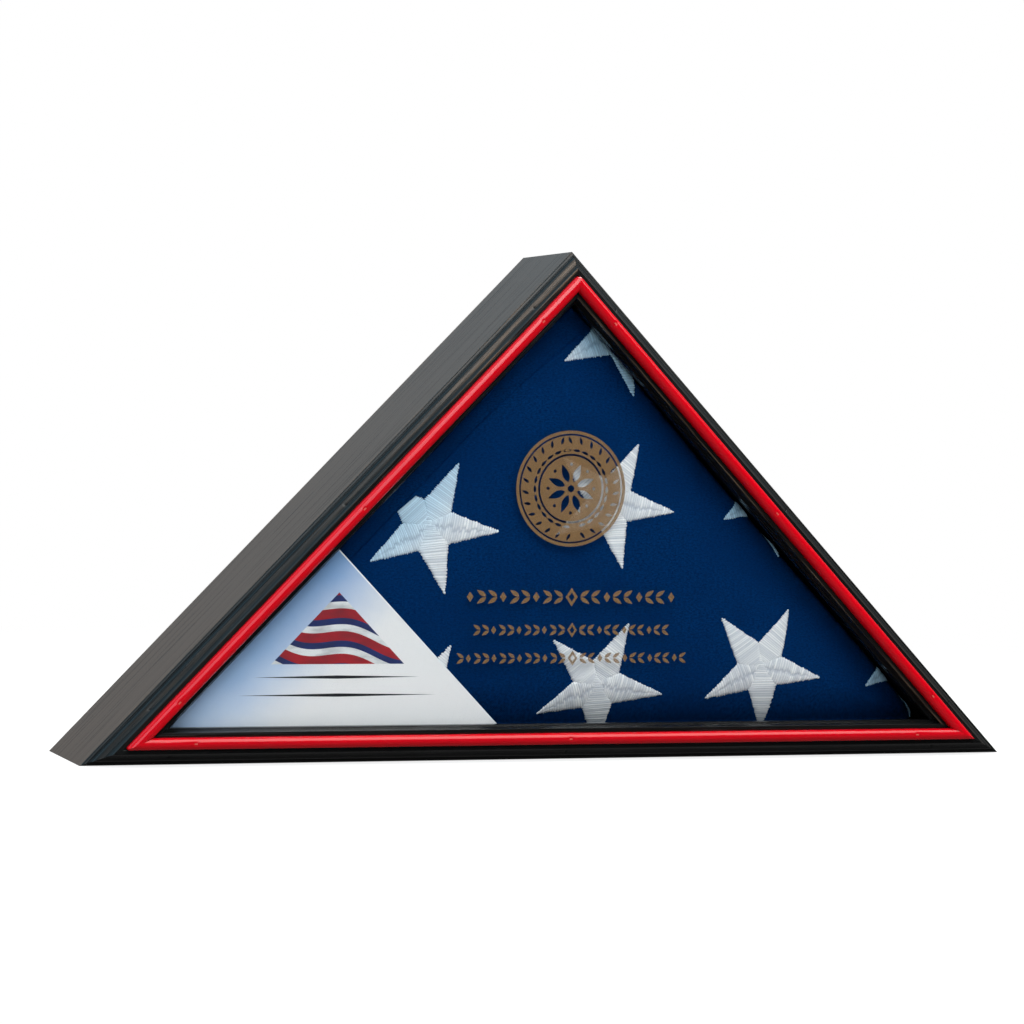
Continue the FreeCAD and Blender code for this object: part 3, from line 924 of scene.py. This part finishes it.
def star_arm(centre, arms, index, rank, draws, stop):
    """An arm's stitches from tip to root: flat places, heights, and tones with painted shade, in rows."""
    heading, reach = arms[index][0], arms[index][1] * MM
    way = heading_vector(heading)
    heart = centre + HEART_SHIFT
    tip, root = centre + way * reach, heart - way * reach * (ROOT_SHARE + ROOT_STEP * rank)
    paths = []
    for neighbour, _ in (arms[index - 1], arms[(index + 1) % len(arms)]):
        turn = ((neighbour - heading + 180) % 360 - 180) / 2
        paths.append([tip, heart + heading_vector(heading + turn) * INNER_SHARE * reach, root])
    stitches = int(reach * STITCHED_REACH / STITCH)
    rows = STITCH_ROWS * stitches + 1

    def by_stitch(low, high):
        return np.repeat(draws.uniform(low, high, stitches + 1), STITCH_ROWS)[:rows]

    steps = by_stitch(*STITCH_SPREAD)[:-1]
    shares = STITCHED_FROM + STITCHED_RUN * np.concatenate([[0], np.cumsum(steps)]) / steps.sum()
    slant = draws.uniform(*SLANT_SPREAD)
    left = along_path(paths[0], shares)
    right = along_path(paths[1], np.clip(shares + slant * shares * (1 - shares), 0, 1))
    pile = np.resize(STITCH_ROUND, rows)
    width = np.hypot(*(right - left).T)
    unit = (right - left) / np.maximum(width, 1e-9)[:, None]

    def ragged():
        return unit * (by_stitch(0.0, RAGGED_OUT) * pile - RAGGED_IN * (1 - pile))[:, None]

    left, right = left - ragged(), right + ragged()
    across = np.linspace(-1, 1, ROW_STEPS + 1)
    flat = left[:, None] + (right - left)[:, None] * ((across + 1) / 2)[None, :, None]
    height = THREAD_HEIGHT * np.clip(width / FULL_WIDTH, LEAST_WIDTH, 1) ** WIDTH_POWER
    height = height * (ROOT_HEIGHT + (1 - ROOT_HEIGHT) * smooth_step((1 - shares) / ROOT_RUN))
    height = height + by_stitch(-UNEVEN, UNEVEN) + (pile - 0.5) * STITCH_DEPTH + rank * ARM_LIFT
    height = height[:, None] * (1 - np.abs(across) ** ACROSS_POWER) ** ROUND_POWER
    # Painted shade: the grooves between stitches, and below them the creases, are darkened on top of a random
    # tone
    tone_and_shade = by_stitch(*TONE_SPREAD) * (GROOVE_SHADE + (1 - GROOVE_SHADE) * pile)
    tone_and_shade = np.repeat(tone_and_shade[:, None], len(across), 1)
    if index in CREASED_ARMS:
        crease = np.exp(-((across - by_stitch(-CREASE_WANDER, CREASE_WANDER)[:, None]) / CREASE_WIDTH) ** 2)
        crease = crease * (smooth_step(shares / CREASE_TIP) * smooth_step((1 - shares) / CREASE_ROOT))[:, None]
        height = height * (1 - CREASE_DEPTH * crease)
        tone_and_shade = tone_and_shade * (1 - CREASE_SHADE * crease)
    if stop is not None:
        kept = past_layer_edge(flat).min(1) > stop
        flat, height, tone_and_shade = flat[kept], height[kept], tone_and_shade[kept]
    return flat, height, tone_and_shade


def cool_share(flat, centre):
    """How much painted blue shade the thread takes: towards the left, or towards the right fold on stars that
    turn over it.
    """
    side, share, (near, far) = SIDES["left"], BLUE_SHADE_SHARE, BLUE_SHADE_INSETS
    if SIDES["right"].inset_of(centre) < RIGHT_EDGE:
        side, share, (near, far) = SIDES["right"], 1.0, RIGHT_BLUE_SHADE_INSETS
    return share * smooth_step((far - side.inset_of(flat)) / (far - near))


def arm_faces(top, under):
    """Faces round an arm, from the vertex numbers of its rows and of the two under each."""
    faces = []
    for here, there, low, next_low in zip(top, top[1:], under, under[1:]):
        faces += zip(here, here[1:], there[1:], there)
        faces.append((here[0], there[0], next_low[0], low[0]))
        faces.append((here[-1], low[1], next_low[1], there[-1]))
        faces.append((low[0], next_low[0], next_low[1], low[1]))
    return faces + [(*top[0], *under[0, ::-1]), (*under[-1], *top[-1, ::-1])]


def star(number, centre, arms, material):
    """A star of satin-stitched arms that lies on the cloth and turns over its folds."""
    draws = np.random.default_rng(number)
    centre = np.array(centre) * MM
    stop = LAYER_STAR_STOP if number == LAYER_STAR else None
    flats, heights, tones_and_shades, uvs, faces, total = [], [], [], [], [], 0
    for rank, index in enumerate(ARM_ORDER):
        flat, height, tone_and_shade = star_arm(centre, arms, index, rank, draws, stop)
        rows, columns = height.shape
        top = total + np.arange(height.size).reshape(height.shape)
        under = total + height.size + np.arange(2 * rows).reshape(rows, 2)
        total += top.size + under.size
        faces += arm_faces(top, under)
        down = (rank * ARM_ROWS + np.arange(rows)) * STITCH / STITCH_ROWS
        along = np.linspace(0, THREAD_RUN, columns)
        uv = np.stack(np.meshgrid(along, down), -1)
        for values, kept in ((flats, flat), (tones_and_shades, tone_and_shade), (uvs, uv)):
            values += [kept.reshape(height.size, -1), kept[:, [0, -1]].reshape(2 * rows, -1)]
        heights += [np.maximum(height, LEAST_HEIGHT).ravel(), np.full(2 * rows, UNDER_HEIGHT)]
    flat = np.concatenate(flats)
    points, facing = cloth(flat)
    over = nearest_on_core(flat)[1] - TIP_RADIUS

    form = bmesh.new()
    vertices = [form.verts.new(p) for p in points + facing * np.concatenate(heights)[:, None]]
    for face in faces:
        if max(over[i] for i in face) <= WRAP_LIMIT:
            form.faces.new([vertices[i] for i in face])
    mesh = bpy.data.meshes.new(f"embroidered_star_{number}")
    form.to_mesh(mesh)
    set_attribute(mesh, "tone_and_shade", np.concatenate(tones_and_shades))
    # The share of painted blue shade at each vertex
    set_attribute(mesh, "painted_blue_shade", cool_share(flat, centre))
    set_uv(mesh, np.concatenate(uvs))
    form.clear()
    form.from_mesh(mesh)
    bmesh.ops.delete(form, geom=[v for v in form.verts if not v.link_faces], context="VERTS")
    bmesh.ops.holes_fill(form, edges=[e for e in form.edges if e.is_boundary], sides=0)
    form.to_mesh(mesh)
    form.free()
    dress(mesh, material)


# The etched marks on the glass: a wreath medallion and three ornamental rules

ETCH_THICKNESS, ETCH_GAP = mm(0.06, 0.02)
MEDALLION, MEDALLION_RADIUS = np.array([2.9, 182.6]) * MM, 39.2 * MM
MEDALLION_RINGS = (1, 0.945), (0.915, 0.6), (0.565,)
WREATH_LEAVES, WREATH_LEAN, PETALS = 26, 62, 8
LEAF_SPREAD, LEAF_LIFT = 33, 0.35 * MM


def circle(centre, radius, steps=96):
    return [tuple(centre + radius * heading_vector(360 * k / steps)) for k in range(steps)]


def leaf(root, heading, length, width, steps=8):
    """A pointed leaf from its root along a heading."""
    way = heading_vector(heading)
    shares = np.linspace(0, 1, steps + 1)[:, None]
    middle = np.array(root) + way * length * shares
    swell = np.array([-way[1], way[0]]) * np.sin(math.pi * shares ** 0.8) * width / 2
    return [tuple(p) for p in [*(middle + swell), *(middle - swell)[-2:0:-1]]]


def lozenge(x, z, half_width, half_height):
    return [(x - half_width, z), (x, z - half_height), (x + half_width, z), (x, z + half_height)]


def etched(name, regions, material):
    """A mark of thin films on the glass, each inside its first loop and outside the others."""
    form = bmesh.new()
    for loops in regions:
        curve = bpy.data.curves.new("film", "CURVE")
        curve.dimensions = "2D"
        curve.fill_mode = "BOTH"
        curve.extrude = ETCH_THICKNESS / 2
        for loop in loops:
            spline = curve.splines.new("POLY")
            spline.points.add(len(loop) - 1)
            for point, (x, z) in zip(spline.points, loop):
                point.co = (x, z, 0.0, 1.0)
            spline.use_cyclic_u = True
        holder = add_object("film", curve)
        bpy.context.view_layer.update()
        film = bpy.data.meshes.new_from_object(holder.evaluated_get(bpy.context.evaluated_depsgraph_get()))
        form.from_mesh(film)
        for owners, data in ((bpy.data.objects, holder), (bpy.data.curves, curve), (bpy.data.meshes, film)):
            owners.remove(data)
    bmesh.ops.remove_doubles(form, verts=form.verts, dist=1e-7)
    mesh = bpy.data.meshes.new(name)
    form.to_mesh(mesh)
    form.free()
    mesh.transform(Matrix.Rotation(math.pi / 2, 4, "X"))
    mesh.transform(Matrix.Translation((0, GLASS_FRONT - ETCH_THICKNESS / 2 - ETCH_GAP, 0)))
    dress(mesh, material, sharp=30)


def medallion_regions():
    """A rim, a band with a wreath of clear leaves, and a disc with a clear rosette."""
    centre, radius = MEDALLION, MEDALLION_RADIUS
    rim, band, disc = [[circle(centre, share * radius) for share in shares] for shares in MEDALLION_RINGS]
    for angle in 360 * (np.arange(WREATH_LEAVES) + 0.5) / WREATH_LEAVES:
        climb = 1 if heading_vector(angle)[0] > 0 else -1
        for reach, tilt in ((0.665, 34), (0.775, -34)):
            root = centre + heading_vector(angle) * reach * radius
            band.append(leaf(root, angle + climb * (WREATH_LEAN + tilt), 0.14 * radius, 0.05 * radius))
    for angle in 360 * (np.arange(PETALS) + 0.5) / PETALS:
        disc.append(leaf(centre + heading_vector(angle) * 0.12 * radius, angle, 0.33 * radius, 0.125 * radius))
        between = centre + heading_vector(angle + 180 / PETALS) * 0.42 * radius
        disc.append(circle(between, 0.028 * radius, 12))
    disc.append(circle(centre, 0.06 * radius, 24))
    return [rim, band, disc]


# Each rule's middle, line, reach, height and number of steps to a side
ORNAMENTS = (
    (*mm(5.1, 109.4, 76.8, 7.0), 9),
    (*mm(5.8, 87.1, 71.5, 5.6), 11),
    (*mm(6.6, 68.1, 83.7, 5.6), 13),
)


def ornament_regions():
    """Rows of leaf pairs and lozenges that run out from a middle lozenge."""
    regions = []
    for middle, line, reach, tall, count in ORNAMENTS:
        sizes = (tall * 0.62, tall * 0.9), (tall * 0.3, tall * 0.45)
        regions.append([lozenge(middle, line, *size) for size in sizes])
        first = tall * 0.9
        pitch = (reach - first) / count
        for sign in (1, -1):
            for k in range(count):
                x = middle + sign * (first + pitch * k)
                if k % 3 == 2:
                    regions.append([lozenge(x + sign * pitch * 0.45, line, pitch * 0.3, tall * 0.5)])
                    continue
                for lift in (1, -1):
                    heading = lift * LEAF_SPREAD if sign > 0 else 180 - lift * LEAF_SPREAD
                    regions.append([leaf((x, line + lift * LEAF_LIFT), heading, pitch, tall * 0.42)])
    return regions


# Screws with cross recesses

SCREW_SEAT, SCREW_TOP, SCREW_LENGTH = mm(50.5, 52.7, 14)
SCREW_SHANK, SCREW_HEAD, SCREW_FLAT, SCREW_RIM = mm(1.5, 3.2, 1.75, 0.7)
SCREW_EASE, SCREW_EASE_RISE = mm(0.08, 0.1)
RECESS_ARM, RECESS_HALF, RECESS_DEPTH = mm(1.35, 0.3, 1.0)
RECESS_TAPER = 0.55
BASE_BUTTON_REACH = 140 * MM


def screw_places():
    inset = RABBET_INSET / 2
    on_sides = [side.points(side.length / 2, inset, 0.0) for side in (SIDES["left"], SIDES["right"])]
    return on_sides + [np.array([x, 0.0, inset]) for x in (-BASE_BUTTON_REACH, BASE_BUTTON_REACH)]


def cross_outline():
    """The recess: three corners, and the same three after each quarter turn."""
    corners = [(RECESS_ARM, -RECESS_HALF), (RECESS_ARM, RECESS_HALF), (RECESS_HALF, RECESS_HALF)]
    while len(corners) < 12:
        x, z = corners[-3]
        corners.append((-z, x))
    return np.array(corners)


def in_cross(point):
    short, long = sorted(np.abs(point))
    return short < RECESS_HALF and long < RECESS_ARM


def turn_button_screws(material, steps=32):
    """Pan-head screws whose heads have a cross recess."""
    rim_y = SCREW_SEAT + SCREW_RIM
    profile = [
        (SCREW_SHANK, SCREW_SEAT - SCREW_LENGTH),
        (SCREW_SHANK, SCREW_SEAT),
        (SCREW_HEAD - SCREW_EASE, SCREW_SEAT),
        (SCREW_HEAD, SCREW_SEAT + SCREW_EASE_RISE),
        (SCREW_HEAD, rim_y),
    ]
    for turn in np.linspace(0, math.pi / 2, 7)[1:]:
        radius = SCREW_FLAT + (SCREW_HEAD - SCREW_FLAT) * math.cos(turn)
        profile.append((radius, rim_y + (SCREW_TOP - rim_y) * math.sin(turn)))
    rim, cross = np.array(circle(np.zeros(2), 1.0, steps)), cross_outline()
    top = np.concatenate([rim * SCREW_FLAT, cross])
    cap = triangulated(top, closed_ring(0, steps) + closed_ring(steps, len(cross)))
    cap = [face for face in cap if min(face) < steps or not in_cross(top[face].mean(0))]

    screw = [upright(rim * radius, y) for radius, y in profile]
    screw += [upright(cross, SCREW_TOP), upright(cross * RECESS_TAPER, SCREW_TOP - RECESS_DEPTH)]
    screw = np.concatenate(screw)
    rings = np.arange(len(profile) * steps).reshape(-1, steps)
    lip = rings.size + np.arange(len(cross))
    floor = lip + len(cross)
    around_cap = np.concatenate([rings[-1], lip])
    faces = [*walls(rings), *walls([lip, floor]), rings[0], floor, *[around_cap[face] for face in cap]]
    places = screw_places()
    all_faces = [np.array(face) + index * len(screw) for index in range(len(places)) for face in faces]
    mesh = new_mesh("turn_button_screw_set", np.concatenate([screw + place for place in places]), all_faces)
    dress(mesh, material, "turn_button_screws", sharp=28)


# Putting the object together

board_wood = stained_oak("black_oak_boards", (0.014, 0.0112, 0.0095), (0.036, 0.0295, 0.0245), 0.25, 0.36)
moulding_wood = stained_oak("black_oak_mouldings", (0.0025, 0.0026, 0.0026), (0.0085, 0.0088, 0.0085), 0.3, 0.24)
enamel = red_paint()
zinc = metal("zinc_plate", (0.62, 0.63, 0.64), 0.3)
bright = metal("bright_wire", (0.70, 0.70, 0.69), 0.25)
cotton, thread, gilt = navy_cloth(), star_thread(), frosted_gilt()

# Where nails are set: inset, distance from the mitres, and the dent's radius and depth
BEAD_NAILS = BEAD_CENTRE, *mm(37, 1.2, 0.7)
FACE_NAILS = mm(6.2, 42, 0.8, 0.9)
# Brown edge marks on each moulding: wear on the left, and on the right a lip line that is part painted highlight
MOULDING_WEAR_AND_HIGHLIGHT = {"left": (RUBBED_FACE, (1.0, 0.1)), "right": (LIP_WEAR_AND_HIGHLIGHT,), "bottom": ()}
BEAD_TIPS = {"left": mm(3, 1.2), "right": (0.0, 3 * MM), "bottom": (1.2 * MM, 0.0)}
BOARD_NODES = {"left": "left_side_board", "right": "right_side_board", "bottom": "base_board"}
for name, side in SIDES.items():
    board, moulding, bead = BOARD_NODES[name], name + "_face_moulding", name + "_red_bead"
    mitred_bar(board + "_stained", side, board_outline(), 0.3 * MM, 3 * MM, board_wood, "black_board", board,
               edges=BOARD_EDGES)
    mitred_bar(moulding + "_stained", side, moulding_outline(), 0.22 * MM, 0.8 * MM, moulding_wood,
               "black_moulding", moulding, side.dents(*FACE_NAILS), *MOULDING_WEAR_AND_HIGHLIGHT[name])
    mitred_bar(bead + "_enamelled", side, bead_outline(), 0.3 * MM, 0.8 * MM, enamel, "red_bead", bead,
               side.dents(*BEAD_NAILS), tips=BEAD_TIPS[name])

NODE_MATERIALS = {
    moulding_wood: ["face_moulding_brads"],
    filled_brads(): ["red_bead_brads"],
    bright: ["glass_stop_brads", "corner_v_nails"],
    pale_wood(): [side + "_glass_stop" for side in SIDES],
    clear_glass(): ["glass_pane"],
    printed_card(): ["insert_card"],
    hardboard(): ["back_panel"],
    zinc: ["left_turn_button", "right_turn_button", "base_left_turn_button", "base_right_turn_button"],
}
for material, names in NODE_MATERIALS.items():
    for name in names:
        slots = nodes[name].data.materials
        slots.clear()
        slots.append(material)

folded_flag(cotton)
for number, (centre, *arms) in enumerate(STARS, 1):
    star(number, centre, arms, thread)
etched("etched_medallion", medallion_regions(), gilt)
etched("etched_rules", ornament_regions(), gilt)
turn_button_screws(zinc)


# Camera, floor, light

CAMERA_PLACE = (-0.77266, -2.11832, 0.22393)
CAMERA_AZIMUTH, CAMERA_ELEVATION, CAMERA_ROLL = -19.5231, 1.5016, 1.1947
FOCAL_PIXELS, IMAGE_SIDE, SENSOR = 3275.83, 1024, 36.0


def make_camera():
    data = bpy.data.cameras.new("camera")
    data.sensor_width = SENSOR
    data.lens = FOCAL_PIXELS * SENSOR / IMAGE_SIDE
    camera = add_object("camera", data)
    place = Matrix.Translation(CAMERA_PLACE)
    for degrees, axis in ((CAMERA_AZIMUTH, "Z"), (90 - CAMERA_ELEVATION, "X"), (CAMERA_ROLL, "Z")):
        place = place @ Matrix.Rotation(math.radians(degrees), 4, axis)
    camera.matrix_world = place
    bpy.context.scene.camera = camera


WHITE = (1, 1, 1)
WORLD_LIGHT, DIM_FRONT = 0.2, 0.05
FLOOR_REACH, FLOOR_Z = 12, -0.2 * MM


def make_floor():
    """A pale floor with a shadow near the object, white further out, and dimly mirrored in front."""
    look = Look("pale_floor")
    camera, glossy, through = look.rays()
    pale = look.noise(6, 3).mix((0.86, 0.86, 0.86), (0.9, 0.9, 0.9))
    matte = look.node("BsdfDiffuse", {"Color": camera.mix((0.3, 0.3, 0.3), pale)})
    away = look.node("VectorMath", {0: look.place}, "Value", operation="LENGTH")
    shown = look.math("MAXIMUM", camera * away.ramp(0.4, 1.3, 0.8, 1), glossy, through)
    behind = look.axes()[1].ramp(-0.2, 0.8, DIM_FRONT, 1)
    white = look.node("Emission", {"Color": WHITE, "Strength": look.math("MAXIMUM", camera, behind)})
    corners = [(x * FLOOR_REACH, y * FLOOR_REACH, 0) for x, y in ((-1, -1), (1, -1), (1, 1), (-1, 1))]
    mesh = new_mesh("floor", corners, [(0, 1, 2, 3)])
    mesh.materials.append(look.blend(shown, matte, white))
    floor = add_object("floor", mesh)
    floor.location.z = FLOOR_Z


def make_world():
    """A room that is white behind, darker in front, and dimmer as a source of light."""
    look = Look("studio", "Generated", "worlds")
    x, y, z = look.axes()
    camera, glossy, through = look.rays()
    behind = y.ramp(-0.45, 0.5, DIM_FRONT, 0.86) * x.ramp(0.25, 0.65, 1, 0.25)
    behind = behind * z.ramp(0.1, 0.3, 0.6, 1)
    mirrored = look.math("MAXIMUM", behind, z.ramp(0.25, 0.9, 0, 0.26))
    seen = look.math("MAXIMUM", camera, through, glossy * mirrored)
    shown = look.math("MAXIMUM", camera, glossy, through)
    soft = look.node("Background", {"Color": (0.58, 0.82, 1), "Strength": WORLD_LIGHT})
    low = z.ramp(0.24, 0.5, 1, 0) * y.ramp(0, 0.5)
    glow = low.mix((0.38, 0.75, 1), (1, 0.83, 0.72))
    white = look.node("Background", {"Color": glossy.mix(WHITE, glow), "Strength": seen})
    bpy.context.scene.world = look.blend(shown, soft, white)


# Each light's place, target, size, power and colour
LIGHTS = {
    "skylight": ((0.5, -0.9, 2.45), (0, -0.05, 0.12), (4.2, 3.6), 176, (1, 0.975, 0.935)),
    "window": ((-0.85, -1.65, 1.72), (0, 0, 0.15), (2.2, 2), 29, (0.68, 0.87, 1)),
    "back_fill": ((0.9, 1.5, 2.6), (0, 0.05, 0.15), (1.8, 1.8), 80, (1, 0.98, 0.95)),
}


def make_lights():
    for name, (place, target, size, power, colour) in LIGHTS.items():
        data = bpy.data.lights.new(name, "AREA")
        data.shape = "RECTANGLE"
        data.size, data.size_y = size
        data.energy = power
        data.color = colour
        lamp = add_object(name, data)
        lamp.location = place
        lamp.rotation_euler = (Vector(target) - Vector(place)).to_track_quat("-Z", "Y").to_euler()


make_camera()
make_floor()
make_world()
make_lights()
bpy.context.scene.view_settings.view_transform = "Standard"
